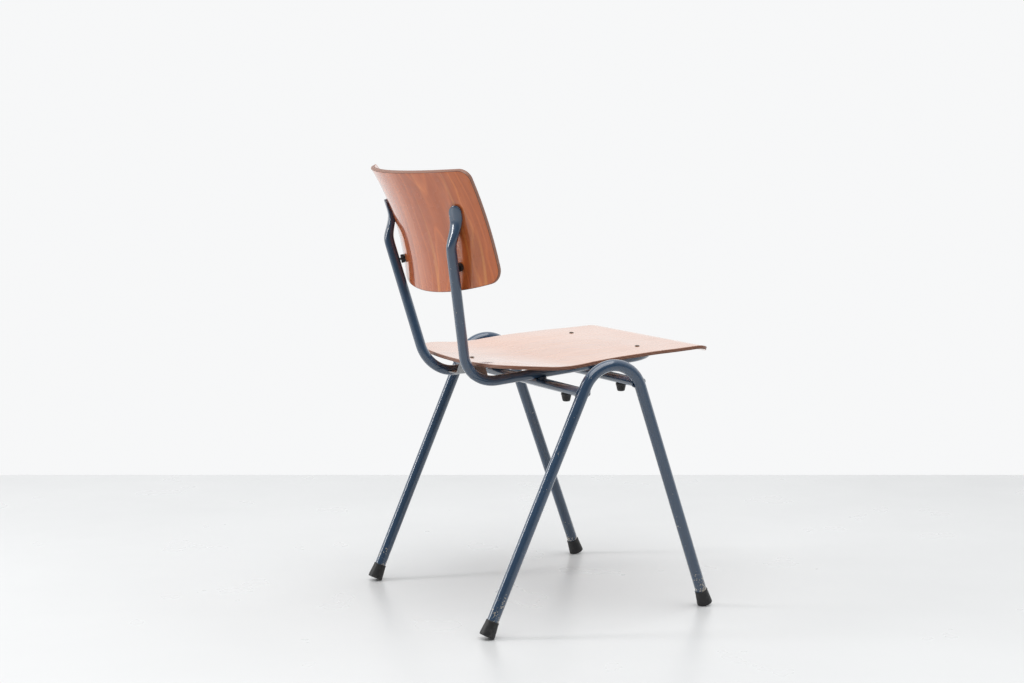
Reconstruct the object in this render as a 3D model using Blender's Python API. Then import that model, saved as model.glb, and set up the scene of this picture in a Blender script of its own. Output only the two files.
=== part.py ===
"""Stacking chair: two bent leg arches, one seat-and-back tube, two cross tubes, a moulded plywood seat and backrest.

Metres, +Z up. The sitter faces -Y and +X is their left. The sizes below are laid out from the middle of the four
feet; every piece is then moved back by MIDDLE_Y, so the origin is on the floor under the middle of the chair.
"""
import math

import bmesh
import bpy
from mathutils import Matrix, Vector

GAP = 0.0003                       # clearance between pieces that touch
TUBE_SIDES = 16
MIDDLE_Y = 0.0130                  # middle of the chair's depth, measured from the middle of its feet

# Leg arches: straight legs that lean together and meet in one bend
LEG_RADIUS = 0.0100
LEG_APEX = Vector((0.2268, -0.0267, 0.5365))     # where the straight legs would meet
LEG_FOOT_X = 0.2195                              # leg axis at floor level
LEG_FOOT_Y = 0.2195
LEG_BEND_RADIUS = 0.0589

# Rubber foot caps
CAP_LENGTH = 0.027
CAP_FLOOR = 0.005
CAP_TOP_RADIUS = 0.0114
CAP_BOTTOM_RADIUS = 0.0134
CAP_WEAR = 0.0010                                # height worn flat where the cap meets the floor

# Seat-and-back tube
FRAME_RADIUS = 0.0090
FRAME_BACK_CORNER = Vector((0.0727, 0.1748, 0.4002))    # upright meets seat run
FRAME_UPRIGHT_SLOPE = Vector((0.2016, 0.2307, 1.0))     # outward and backward travel for each metre of rise
FRAME_FRONT_CORNER = Vector((0.0965, -0.1958, 0.4355))  # seat run meets front cross run
FRAME_BACK_BEND = 0.0620
FRAME_FRONT_BEND = 0.0505
FRAME_TIP_V = 0.1370                             # height of the tips on the backrest
PRESS_START_V = 0.0600                           # where the tube starts to widen towards its pressed tip
THIN_START_V = 0.0700                            # where it starts to thin from behind
MEET_START_V = 0.0700                            # where it starts to lean in to the backrest
MEET_END_V = 0.1120                              # from where on it lies against the backrest
TIP_HALF_WIDTH = 0.0135
TIP_THICKNESS = 0.0100
TIP_FRONT_SHARE = 0.27                           # share of the thickness in front of the widest line
TIP_SPLAY = 0.0045                               # how far the tips lean outward of the straight line

# Cross tubes of flattened oval section
CROSS_HALF_DEPTH = 0.0125
CROSS_HALF_HEIGHT = 0.0076
CROSS_REAR = (0.0362, 0.3968)                    # y, z of the rear axis
CROSS_FRONT = (-0.0730, 0.4064)                  # y, z of the front axis
CROSS_SQUARENESS = 2.4                           # 2 is an ellipse, more is boxier

# Rubber bumpers under the cross tubes
BUMPER_X = 0.168
BUMPER_TOP_RADIUS = 0.0091
BUMPER_BOTTOM_RADIUS = 0.0068
BUMPER_LENGTH = 0.0140

# Moulded plywood seat
SEAT_THICKNESS = 0.0060
SEAT_REAR = (0.1480, 0.4382)                     # y, z of the rear edge of the top face
SEAT_LENGTH = 0.4095                             # along the curved surface
SEAT_REAR_HALF_WIDTH = 0.1999
SEAT_FRONT_HALF_WIDTH = 0.1799
SEAT_REAR_CORNER = 0.0717
SEAT_FRONT_CORNER = 0.0337
SEAT_REAR_BOW = 0.0181
SEAT_SIDE_RISE = 0.0080                          # how far the rear corners curl up
SEAT_FADE = 0.60                                 # share of the length over which bow and curl fade out
SEAT_SLOPES = ((0.00, -2.6), (0.153, -3.3), (0.327, 8.4), (0.532, 5.1), (0.736, 1.7), (0.90, 3.2), (1.00, -29.6))
SEAT_RIVET_FRONT = (0.113, -0.141)               # x, y
SEAT_RIVET_REAR = (0.0, 0.128)

# Moulded plywood backrest: part of a reclined cylinder, hollow side to the sitter
BACK_THICKNESS = 0.0080
BACK_RADIUS = 0.3391
BACK_RECLINE = math.radians(19.24)
BACK_FOOT = Vector((0.0, 0.2171, 0.5688))        # rear face, middle of the lower edge before it is bowed
BACK_HEIGHT = 0.1927
BACK_HALF_WIDTH = 0.1895                         # along the curve
BACK_TOP_CORNER = 0.0178
BACK_BOTTOM_CORNER = 0.0215
BACK_TOP_BOW = 0.0110
BACK_BOTTOM_BOW = 0.0117
BACK_BULGE = 0.0110                              # how far the middle of the height is pressed forward
BACK_WAIST = 0.0055                              # how far each side edge draws in at the middle of the height

# Rivets
SHANK_RADIUS = 0.0020
HOLE_RADIUS = 0.0024
HEAD_RADIUS = 0.0045
HEAD_HEIGHT = 0.0013
TAIL_RADIUS = 0.0036
TAIL_HEIGHT = 0.0014
BACK_RIVET_UPPER_V = 0.1180
BACK_RIVET_LOWER_V = 0.0300
UPPER_RIVET_BITE = 0.0040                        # how far each blind rivet goes into the tube
LOWER_RIVET_BITE = 0.0060
SPACER_RADIUS = 0.0075

# Brackets between the seat-and-back tube and the seat
BRACKET_THICKNESS = 0.0024
BRACKET_LENGTH = 0.0240
BRACKET_OUTER_X = 0.1270
STRAP_WIDTH = 0.0280
STRAP_PLATEAU = 0.0180


def clear_scene():
    for old in list(bpy.data.objects):
        bpy.data.objects.remove(old, do_unlink=True)


def make_material(name, colour, roughness, metallic=0.0):
    material = bpy.data.materials.new(name)
    material.use_nodes = True
    shader = material.node_tree.nodes["Principled BSDF"]
    shader.inputs["Base Color"].default_value = (*colour, 1.0)
    shader.inputs["Roughness"].default_value = roughness
    shader.inputs["Metallic"].default_value = metallic
    material.diffuse_color = (*colour, 1.0)
    return material


def paint_material():
    return make_material("blue_grey_paint", (0.040, 0.060, 0.085), 0.30)


def rubber_material():
    return make_material("black_rubber", (0.020, 0.020, 0.021), 0.75)


def seat_wood_material():
    return make_material("seat_plywood", (0.52, 0.27, 0.17), 0.30)


def back_wood_material():
    return make_material("back_plywood", (0.42, 0.16, 0.08), 0.25)


def rivet_material():
    return make_material("dull_rivet_metal", (0.30, 0.25, 0.21), 0.45, 0.9)


def strap_material():
    return make_material("zinc_plate", (0.45, 0.46, 0.47), 0.40, 0.8)


def finish(name, bm, material, sharp_angle=40):
    """Turn a bmesh into a named object with outward faces and smooth shading."""
    bmesh.ops.translate(bm, vec=(0, -MIDDLE_Y, 0), verts=bm.verts)
    bmesh.ops.recalc_face_normals(bm, faces=bm.faces)
    mesh = bpy.data.meshes.new(name)
    bm.to_mesh(mesh)
    bm.free()
    mesh.materials.append(material)
    mesh.shade_smooth()
    mesh.set_sharp_from_angle(angle=math.radians(sharp_angle))
    obj = bpy.data.objects.new(name, mesh)
    bpy.context.scene.collection.objects.link(obj)
    return obj


def mirrored(point):
    return Vector((-point.x, point.y, point.z))


def rounded_path(corners, radii, steps=10):
    """Polyline through corners, each inner corner replaced by an arc of its radius."""
    points = [corners[0]]
    for before, corner, after, radius in zip(corners, corners[1:], corners[2:], radii):
        back = (before - corner).normalized()
        onward = (after - corner).normalized()
        half = back.angle(onward) / 2
        centre = corner + (back + onward).normalized() * radius / math.sin(half)
        start = corner + back * radius / math.tan(half) - centre
        end = corner + onward * radius / math.tan(half) - centre
        points += [centre + start.slerp(end, i / steps) * radius for i in range(steps + 1)]
    points.append(corners[-1])
    return points


def path_directions(points):
    """Direction of travel at each point of a polyline."""
    steps = [(b - a).normalized() for a, b in zip(points, points[1:])]
    inner = [(a + b).normalized() for a, b in zip(steps, steps[1:])]
    return [steps[0], *inner, steps[-1]]


def carried_frames(points, first_side):
    """Side and normal vectors at each point, carried along the path without twist."""
    frames = []
    side = first_side
    for direction in path_directions(points):
        side = (side - direction * side.dot(direction)).normalized()
        frames.append((side, direction.cross(side)))
    return frames


def oval_offset(side, normal, half_width, half_height, angle, power=2.0):
    c = math.cos(angle)
    s = math.sin(angle)
    x = math.copysign(abs(c) ** (2 / power), c) * half_width
    y = math.copysign(abs(s) ** (2 / power), s) * half_height
    return side * x + normal * y


def add_ring(bm, centre, side, normal, half_width, half_height, power=2.0):
    angles = [2 * math.pi * i / TUBE_SIDES for i in range(TUBE_SIDES)]
    offsets = [oval_offset(side, normal, half_width, half_height, a, power) for a in angles]
    return [bm.verts.new(centre + offset) for offset in offsets]


def bridge_rings(bm, rings):
    for ring, following in zip(rings, rings[1:]):
        count = len(ring)
        for i in range(count):
            j = (i + 1) % count
            bm.faces.new((ring[i], ring[j], following[j], following[i]))


def mirror_and_weld(bm):
    """Add the mirror image across x = 0 and join the halves where they meet."""
    copy = bmesh.ops.duplicate(bm, geom=bm.verts[:] + bm.edges[:] + bm.faces[:])
    verts = [item for item in copy["geom"] if isinstance(item, bmesh.types.BMVert)]
    bmesh.ops.scale(bm, vec=(-1, 1, 1), verts=verts)
    bmesh.ops.remove_doubles(bm, verts=bm.verts, dist=0.00005)


def lathe(profile, sides):
    """Closed body of revolution about +Z from (radius, height) pairs that start and end on the axis."""
    bm = bmesh.new()
    verts = [bm.verts.new((radius, 0, height)) for radius, height in profile]
    edges = [bm.edges.new(pair) for pair in zip(verts, verts[1:])]
    bmesh.ops.spin(bm, geom=verts + edges, cent=(0, 0, 0), axis=(0, 0, 1), angle=2 * math.pi, steps=sides,
                   use_merge=True)
    bmesh.ops.remove_doubles(bm, verts=bm.verts, dist=0.00002)
    return bm


def place_along(bm, point, axis):
    """Turn +Z of the mesh to an axis and move it to a point."""
    turn = axis.to_track_quat("Z", "Y").to_matrix().to_4x4()
    bmesh.ops.transform(bm, matrix=Matrix.Translation(point) @ turn, verts=bm.verts)


def cut_holes(obj, places, radius=HOLE_RADIUS):
    """Drill round holes; places are (start, end) pairs."""
    for start, end in places:
        bm = bmesh.new()
        length = (end - start).length
        bmesh.ops.create_cone(bm, cap_ends=True, segments=16, radius1=radius, radius2=radius, depth=length)
        place_along(bm, (start + end) / 2, (end - start).normalized())
        cutter = finish("cutter", bm, obj.data.materials[0])
        cutter.hide_render = True
        cutter.display_type = "WIRE"
        drill = obj.modifiers.new("drill", "BOOLEAN")
        drill.operation = "DIFFERENCE"
        drill.solver = "EXACT"
        drill.object = cutter


def corner_inset(distance, radius):
    """How far a rounded corner pulls the side in, at a distance from the end."""
    if distance >= radius:
        return 0.0
    return radius - math.sqrt(max(radius ** 2 - (radius - distance) ** 2, 0.0))


def eased_rows(length, first_corner, last_corner, corner_rows, middle_rows):
    """Distances from 0 to length, closer together in the corner zones."""
    first = [first_corner * (1 - math.cos(math.pi / 2 * i / corner_rows)) for i in range(corner_rows)]
    span = length - first_corner - last_corner
    middle = [first_corner + span * i / middle_rows for i in range(middle_rows)]
    last = [length - last_corner * (1 - math.sin(math.pi / 2 * i / corner_rows)) for i in range(corner_rows + 1)]
    return first + middle + last


# ---- legs -----------------------------------------------------------------------------------------------------

def leg_foot(side, end):
    """Leg axis at floor level; end is +1 at the rear and -1 at the front."""
    return Vector((side * LEG_FOOT_X, end * LEG_FOOT_Y, 0.0))


def leg_apex(side):
    return Vector((side * LEG_APEX.x, LEG_APEX.y, LEG_APEX.z))


def cap_base(side, end):
    """Centre of a foot cap's bottom disc, and the direction up the leg."""
    foot = leg_foot(side, end)
    up = (leg_apex(side) - foot).normalized()
    lean = math.sqrt(1 - up.z ** 2)
    height = CAP_BOTTOM_RADIUS * lean - CAP_WEAR
    return foot + up * (height / up.z), up


def leg_path(side):
    ends = []
    for end in (1, -1):
        base, up = cap_base(side, end)
        ends.append(base + up * (CAP_FLOOR + GAP))
    return rounded_path([ends[0], leg_apex(side), ends[1]], [LEG_BEND_RADIUS], steps=12)


def build_leg_arch(name, side, material):
    points = leg_path(side)
    bm = bmesh.new()
    frames = carried_frames(points, Vector((1, 0, 0)))
    rings = [add_ring(bm, p, s, n, LEG_RADIUS, LEG_RADIUS) for p, (s, n) in zip(points, frames)]
    bridge_rings(bm, rings)
    bm.faces.new(rings[0])
    bm.faces.new(rings[-1])
    return finish(name, bm, material)


def build_foot_cap(name, side, end, material):
    socket = LEG_RADIUS + GAP
    profile = [(0, 0), (CAP_BOTTOM_RADIUS - 0.0012, 0), (CAP_BOTTOM_RADIUS, 0.0012),
               (CAP_BOTTOM_RADIUS - 0.0002, 0.0045), (CAP_TOP_RADIUS, CAP_LENGTH - 0.0007),
               (CAP_TOP_RADIUS - 0.0005, CAP_LENGTH), (socket, CAP_LENGTH), (socket, CAP_FLOOR), (0, CAP_FLOOR)]
    bm = lathe(profile, 20)
    base, up = cap_base(side, end)
    place_along(bm, base, up)
    whole = bm.verts[:] + bm.edges[:] + bm.faces[:]
    cut = bmesh.ops.bisect_plane(bm, geom=whole, plane_co=(0, 0, 0), plane_no=(0, 0, -1), clear_outer=True)
    rim = [item for item in cut["geom_cut"] if isinstance(item, bmesh.types.BMEdge)]
    bmesh.ops.contextual_create(bm, geom=rim)
    return finish(name, bm, material)


# ---- cross tubes and bumpers ----------------------------------------------------------------------------------

def distance_to_path(point, path):
    best = math.inf
    for a, b in zip(path, path[1:]):
        run = b - a
        t = min(max((point - a).dot(run) / run.length_squared, 0.0), 1.0)
        best = min(best, (a + run * t - point).length)
    return best


def coped_x(y, z, path):
    """x at which a line along X at (y, z) stops just short of the leg tube."""
    low = LEG_APEX.x - 0.030
    high = LEG_APEX.x - 0.006
    for _ in range(24):
        middle = (low + high) / 2
        if distance_to_path(Vector((middle, y, z)), path) > LEG_RADIUS + 2 * GAP:
            low = middle
        else:
            high = middle
    return low


def build_cross_tube(name, place, material):
    y, z = place
    path = leg_path(1)
    side = Vector((0, 1, 0))
    normal = Vector((0, 0, 1))
    bm = bmesh.new()
    rings = []
    for x in (0.0, 0.205):
        centre = Vector((x, y, z))
        rings.append(add_ring(bm, centre, side, normal, CROSS_HALF_DEPTH, CROSS_HALF_HEIGHT, CROSS_SQUARENESS))
    for share in (1.0, 0.75, 0.5, 0.25):
        half_sizes = (CROSS_HALF_DEPTH * share, CROSS_HALF_HEIGHT * share)
        end = add_ring(bm, Vector((0.210, y, z)), side, normal, *half_sizes, CROSS_SQUARENESS)
        for vert in end:
            vert.co.x = coped_x(vert.co.y, vert.co.z, path)
        rings.append(end)
    bridge_rings(bm, rings)
    tip = bm.verts.new((coped_x(y, z, path), y, z))
    for first, second in zip(end, end[1:] + end[:1]):
        bm.faces.new((first, second, tip))
    mirror_and_weld(bm)
    return finish(name, bm, material)


def build_bumper(name, side, place, material):
    y, z = place
    profile = [(0, -BUMPER_LENGTH), (BUMPER_BOTTOM_RADIUS - 0.0020, -BUMPER_LENGTH),
               (BUMPER_BOTTOM_RADIUS - 0.0006, -BUMPER_LENGTH + 0.0006), (BUMPER_BOTTOM_RADIUS, -BUMPER_LENGTH + 0.0020),
               (BUMPER_TOP_RADIUS - 0.0002, -0.0035), (BUMPER_TOP_RADIUS, -0.0030), (BUMPER_TOP_RADIUS, 0), (0, 0)]
    bm = lathe(profile, 16)
    place_along(bm, Vector((side * BUMPER_X, y, z - CROSS_HALF_HEIGHT - GAP)), Vector((0, 0, 1)))
    return finish(name, bm, material)


# ---- backrest -------------------------------------------------------------------------------------------------

BACK_UP = Vector((0, math.sin(BACK_RECLINE), math.cos(BACK_RECLINE)))
BACK_FORWARD = Vector((0, -math.cos(BACK_RECLINE), math.sin(BACK_RECLINE)))


def bulge(v):
    """How far the backrest is pressed forward at height v."""
    share = v / BACK_HEIGHT
    return BACK_BULGE * 4 * share * (1 - share)


def bulge_slope(v):
    return BACK_BULGE * 4 * (1 - 2 * v / BACK_HEIGHT) / BACK_HEIGHT


def back_normal(u):
    """Direction out of the rear face at distance u along the curve."""
    angle = u / BACK_RADIUS
    return Vector((1, 0, 0)) * math.sin(angle) - BACK_FORWARD * math.cos(angle)


def back_point(u, v, depth):
    """Point at u along the curve, v up the slope and depth behind the rear face."""
    angle = u / BACK_RADIUS
    reach = BACK_RADIUS + depth
    sideways = Vector((1, 0, 0)) * (reach * math.sin(angle))
    forward = BACK_FORWARD * (BACK_RADIUS - reach * math.cos(angle) + bulge(v))
    return BACK_FOOT + BACK_UP * v + sideways + forward


def back_surface(s, share, depth):
    """Bowed outline: s runs from -1 to 1 across, share from 0 at the lower edge to 1 at the upper edge."""
    v = share * BACK_HEIGHT
    inset = max(corner_inset(v, BACK_BOTTOM_CORNER), corner_inset(BACK_HEIGHT - v, BACK_TOP_CORNER))
    half = BACK_HALF_WIDTH - inset - 4 * BACK_WAIST * share * (1 - share)
    bow = 1 - (half * s / BACK_HALF_WIDTH) ** 2
    return back_point(half * s, v + share * BACK_TOP_BOW * bow - (1 - share) * BACK_BOTTOM_BOW * bow, depth)


def build_shell(rows, columns, surface):
    """Closed sheet between the outer and the inner face; surface(row, column, face) gives the points."""
    bm = bmesh.new()
    faces = [[[bm.verts.new(surface(r, c, face)) for c in columns] for r in rows] for face in (0, 1)]
    for grid in faces:
        for row, following in zip(grid, grid[1:]):
            for i in range(len(columns) - 1):
                bm.faces.new((row[i], row[i + 1], following[i + 1], following[i]))
    rims = []
    for grid in faces:
        right = [row[-1] for row in grid[1:-1]]
        left = [row[0] for row in reversed(grid[1:-1])]
        rims.append(grid[0] + right + list(reversed(grid[-1])) + left)
    bridge_rings(bm, rims)
    return bm


def build_backrest(material):
    rows = [r / BACK_HEIGHT for r in eased_rows(BACK_HEIGHT, BACK_BOTTOM_CORNER, BACK_TOP_CORNER, 4, 4)]
    columns = [-1 + 2 * i / 16 for i in range(17)]
    bm = build_shell(rows, columns, lambda share, s, face: back_surface(s, share, -face * BACK_THICKNESS))
    return finish("backrest", bm, material)


# ---- seat-and-back tube ---------------------------------------------------------------------------------------

def upright_axis(z):
    return FRAME_BACK_CORNER + FRAME_UPRIGHT_SLOPE * (z - FRAME_BACK_CORNER.z)


def upright_on_back(v):
    """Curve distance u and depth behind the backrest of the straight upright axis at height v."""
    z = BACK_FOOT.z + v * math.cos(BACK_RECLINE)
    for _ in range(6):
        offset = upright_axis(z) - BACK_FOOT
        z += (v - offset.dot(BACK_UP)) * math.cos(BACK_RECLINE)
    offset = upright_axis(z) - BACK_FOOT
    across = BACK_RADIUS + bulge(v) - offset.dot(BACK_FORWARD)
    return math.atan2(offset.x, across) * BACK_RADIUS, math.hypot(offset.x, across) - BACK_RADIUS


def smooth_share(value, start, end):
    t = min(max((value - start) / (end - start), 0.0), 1.0)
    return t * t * (3 - 2 * t)


def pressed_end(v):
    """Curve distance u, front gap, half width, and the thickness before and behind the widest line, at height v."""
    u, depth = upright_on_back(v)
    widened = smooth_share(v, PRESS_START_V, FRAME_TIP_V - 0.015)
    thinned = smooth_share(v, THIN_START_V, FRAME_TIP_V)
    thickness = 2 * FRAME_RADIUS + (TIP_THICKNESS - 2 * FRAME_RADIUS) * thinned
    front = thickness * (0.5 + (TIP_FRONT_SHARE - 0.5) * widened)
    half_width = FRAME_RADIUS + (TIP_HALF_WIDTH - FRAME_RADIUS) * widened
    apart = max(depth - FRAME_RADIUS - 2 * GAP, 0) * (1 - smooth_share(v, MEET_START_V, MEET_END_V))
    return u + TIP_SPLAY * widened, apart + 2 * GAP, half_width, front, thickness - front


def add_pressed_ring(bm, v, shrink):
    """D-shaped section of the pressed end: shallow towards the backrest, domed behind."""
    u, gap, half_width, front, rear = pressed_end(v)
    centre = back_point(u, v, gap + front)
    angle = u / BACK_RADIUS
    across = Vector((1, 0, 0)) * math.cos(angle) + BACK_FORWARD * math.sin(angle)
    ring = []
    for i in range(TUBE_SIDES):
        turn = 2 * math.pi * i / TUBE_SIDES
        rise = math.sin(turn) * (rear if math.sin(turn) > 0 else front)
        ring.append(bm.verts.new(centre + across * math.cos(turn) * half_width * shrink
                                 + back_normal(u) * rise * math.sqrt(shrink)))
    return ring, centre, across


def pressed_stations():
    """Heights and shrink factors from the rounded tip down to the round tube."""
    turns = [math.radians(d) for d in (14, 32, 52, 72, 90)]
    dome = [(FRAME_TIP_V - TIP_HALF_WIDTH * (1 - math.cos(a)), math.sin(a)) for a in turns]
    rest = dome[-1][0] - PRESS_START_V
    return dome + [(dome[-1][0] - rest * i / 7, 1.0) for i in range(1, 8)]


def build_frame_tube(material):
    """Half the tube from one tip to the middle of the front run, then its mirror image."""
    bm = bmesh.new()
    rings = []
    for v, shrink in pressed_stations():
        ring, centre, across = add_pressed_ring(bm, v, shrink)
        rings.append(ring)
    middle = Vector((0, FRAME_FRONT_CORNER.y, FRAME_FRONT_CORNER.z))
    bends = [FRAME_BACK_BEND, FRAME_FRONT_BEND]
    points = rounded_path([centre, FRAME_BACK_CORNER, FRAME_FRONT_CORNER, middle], bends, steps=9)
    for point, (side, normal) in list(zip(points, carried_frames(points, across)))[1:]:
        rings.append(add_ring(bm, point, side, -normal, FRAME_RADIUS, FRAME_RADIUS))
    for vert in rings[-1]:
        vert.co.x = 0.0
    bridge_rings(bm, rings)
    bm.faces.new(rings[0])
    mirror_and_weld(bm)
    return finish("seat_back_tube", bm, material)


def frame_run_axis(y):
    """Axis of the seat run at y, on the +X side."""
    share = (FRAME_BACK_CORNER.y - y) / (FRAME_BACK_CORNER.y - FRAME_FRONT_CORNER.y)
    return FRAME_BACK_CORNER.lerp(FRAME_FRONT_CORNER, share)


# ---- seat -----------------------------------------------------------------------------------------------------

def seat_profile():
    """Points (distance, y, z, slope) along the middle of the seat's top face, rear to front."""
    steps = 120
    y, z = SEAT_REAR
    out = []
    for i in range(steps + 1):
        share = i / steps
        for (a, slope_a), (b, slope_b) in zip(SEAT_SLOPES, SEAT_SLOPES[1:]):
            if a <= share <= b:
                slope = math.radians(slope_a + (slope_b - slope_a) * (share - a) / (b - a))
        out.append((share * SEAT_LENGTH, y, z, slope))
        y -= math.cos(slope) * SEAT_LENGTH / steps
        z += math.sin(slope) * SEAT_LENGTH / steps
    return out


SEAT_PROFILE = seat_profile()


def seat_half_width(distance):
    share = distance / SEAT_LENGTH
    width = SEAT_REAR_HALF_WIDTH + (SEAT_FRONT_HALF_WIDTH - SEAT_REAR_HALF_WIDTH) * share
    front = corner_inset(SEAT_LENGTH - distance, SEAT_FRONT_CORNER)
    return width - max(corner_inset(distance, SEAT_REAR_CORNER), front)


def seat_point(x, distance, depth):
    """Point of the seat at x and a distance from the rear edge, depth under the top face."""
    place = min(int(distance / SEAT_LENGTH * (len(SEAT_PROFILE) - 1)), len(SEAT_PROFILE) - 2)
    d0, y0, z0, slope0 = SEAT_PROFILE[place]
    d1, y1, z1, slope1 = SEAT_PROFILE[place + 1]
    t = (distance - d0) / (d1 - d0)
    slope = slope0 + (slope1 - slope0) * t
    fade = max(1 - distance / (SEAT_FADE * SEAT_LENGTH), 0.0)
    y = y0 + (y1 - y0) * t + SEAT_REAR_BOW * fade * (1 - (x / SEAT_REAR_HALF_WIDTH) ** 2)
    z = z0 + (z1 - z0) * t + SEAT_SIDE_RISE * fade * (x / SEAT_REAR_HALF_WIDTH) ** 2
    return Vector((x, y - math.sin(slope) * depth, z - math.cos(slope) * depth))


def seat_at(x, y, depth):
    """Point of the seat under a given x and y."""
    low = 0.0
    high = SEAT_LENGTH
    for _ in range(30):
        middle = (low + high) / 2
        if seat_point(x, middle, depth).y > y:
            low = middle
        else:
            high = middle
    return seat_point(x, low, depth)


def build_seat(material):
    rows = eased_rows(SEAT_LENGTH, SEAT_REAR_CORNER, SEAT_FRONT_CORNER, 5, 13)
    columns = [-1 + 2 * i / 12 for i in range(13)]
    bm = build_shell(rows, columns, lambda d, s, face: seat_point(s * seat_half_width(d), d, face * SEAT_THICKNESS))
    return finish("seat", bm, material)


# ---- brackets, spacers and rivets -----------------------------------------------------------------------------

def extruded_strip(path, thickness, width, material, name):
    """Flat strip that follows a path in the XZ plane, centred on the path's y."""
    bm = bmesh.new()
    across = Vector((0, width / 2, 0))
    rings = []
    for point, direction in zip(path, path_directions(path)):
        normal = Vector((-direction.z, 0, direction.x)) * (thickness / 2)
        corners = (point + normal - across, point + normal + across, point - normal + across, point - normal - across)
        rings.append([bm.verts.new(corner) for corner in corners])
    bridge_rings(bm, rings)
    bm.faces.new(rings[0])
    bm.faces.new(rings[-1])
    return finish(name, bm, material, sharp_angle=50)


def build_seat_bracket(name, side, material):
    """Z-shaped strip: foot on the tube, flange under the seat."""
    x, y = SEAT_RIVET_FRONT
    axis = frame_run_axis(y)
    foot_z = axis.z + FRAME_RADIUS + BRACKET_THICKNESS / 2 + 4 * GAP
    flange_z = seat_at(x, y, SEAT_THICKNESS).z - BRACKET_THICKNESS / 2 - 3 * GAP
    corners = [(axis.x - 0.006, foot_z), (axis.x + 0.007, foot_z), (axis.x + 0.012, flange_z), (BRACKET_OUTER_X, flange_z)]
    path = rounded_path([Vector((side * cx, y, cz)) for cx, cz in corners], [0.003, 0.003], steps=3)
    return extruded_strip(path, BRACKET_THICKNESS, BRACKET_LENGTH, material, name)


def build_rear_strap(material):
    """Arched strip between the two seat runs that carries the rear of the seat."""
    y = SEAT_RIVET_REAR[1]
    axis = frame_run_axis(y)
    end = axis.x - FRAME_RADIUS - 3 * GAP
    top = seat_at(0, y, SEAT_THICKNESS).z - BRACKET_THICKNESS / 2 - 3 * GAP
    corners = [(-end, axis.z), (-STRAP_PLATEAU - 0.014, axis.z), (-STRAP_PLATEAU, top),
               (STRAP_PLATEAU, top), (STRAP_PLATEAU + 0.014, axis.z), (end, axis.z)]
    path = rounded_path([Vector((cx, y, cz)) for cx, cz in corners], [0.010] * 4, steps=4)
    return extruded_strip(path, BRACKET_THICKNESS, STRAP_WIDTH, material, "rear_strap")


def build_rivet(name, head, axis, length, tail, material):
    """Low domed head above the head point, shank down the axis, and a small tail if asked for."""
    top = 2 * GAP
    profile = [(0, top + HEAD_HEIGHT), (HEAD_RADIUS * 0.45, top + HEAD_HEIGHT * 0.88),
               (HEAD_RADIUS * 0.80, top + HEAD_HEIGHT * 0.55), (HEAD_RADIUS, top + HEAD_HEIGHT * 0.15),
               (HEAD_RADIUS, top), (SHANK_RADIUS, top), (SHANK_RADIUS, -length)]
    if tail:
        bottom = -length
        profile += [(TAIL_RADIUS, bottom), (TAIL_RADIUS * 0.7, bottom - TAIL_HEIGHT * 0.8), (0, bottom - TAIL_HEIGHT)]
    else:
        profile.append((0, -length))
    bm = lathe(profile, 12)
    place_along(bm, head, axis)
    return finish(name, bm, material)


def drill_line(head, axis, length):
    return head + axis * 0.010, head - axis * (length + 0.010)


def add_seat_rivet(name, x, y, seat, bracket, material):
    head = seat_at(x, y, 0)
    under = seat_at(x, y, SEAT_THICKNESS)
    axis = (head - under).normalized()
    length = SEAT_THICKNESS + BRACKET_THICKNESS + 6 * GAP
    build_rivet(name, head, axis, length, True, material)
    for piece in (seat, bracket):
        cut_holes(piece, [drill_line(head, axis, length)])


def add_back_rivets(side, tag, backrest, tube, rubber, metal):
    levels = (("upper", BACK_RIVET_UPPER_V, UPPER_RIVET_BITE), ("lower", BACK_RIVET_LOWER_V, LOWER_RIVET_BITE))
    for level, v, bite in levels:
        u, gap = pressed_end(v)[:2]
        lean = bulge_slope(v)
        axis = -(back_normal(side * u) + BACK_UP * lean * math.cos(u / BACK_RADIUS)).normalized()
        head = back_point(side * u, v, -BACK_THICKNESS)
        length = BACK_THICKNESS + gap + bite
        cut_holes(tube, [(head + axis * 0.010, head - axis * (length + GAP))])
        if level == "lower":
            thickness = gap - 5 * GAP - SPACER_RADIUS * lean
            build_spacer(f"back_spacer_{tag}", head - axis * (BACK_THICKNESS + 2 * GAP), -axis, thickness, rubber)
        build_rivet(f"back_rivet_{level}_{tag}", head, axis, length, False, metal)
        cut_holes(backrest, [(head + axis * 0.010, head - axis * (BACK_THICKNESS + 0.002))])


def build_spacer(name, base, axis, thickness, material):
    bm = bmesh.new()
    profile = [(HOLE_RADIUS, 0), (SPACER_RADIUS, 0), (SPACER_RADIUS, thickness), (HOLE_RADIUS, thickness)]
    verts = [bm.verts.new((radius, 0, height)) for radius, height in profile]
    edges = [bm.edges.new(pair) for pair in zip(verts, verts[1:] + verts[:1])]
    bmesh.ops.spin(bm, geom=verts + edges, cent=(0, 0, 0), axis=(0, 0, 1), angle=2 * math.pi, steps=16, use_merge=True)
    bmesh.ops.remove_doubles(bm, verts=bm.verts, dist=0.00002)
    place_along(bm, base, axis)
    return finish(name, bm, material)


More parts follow.
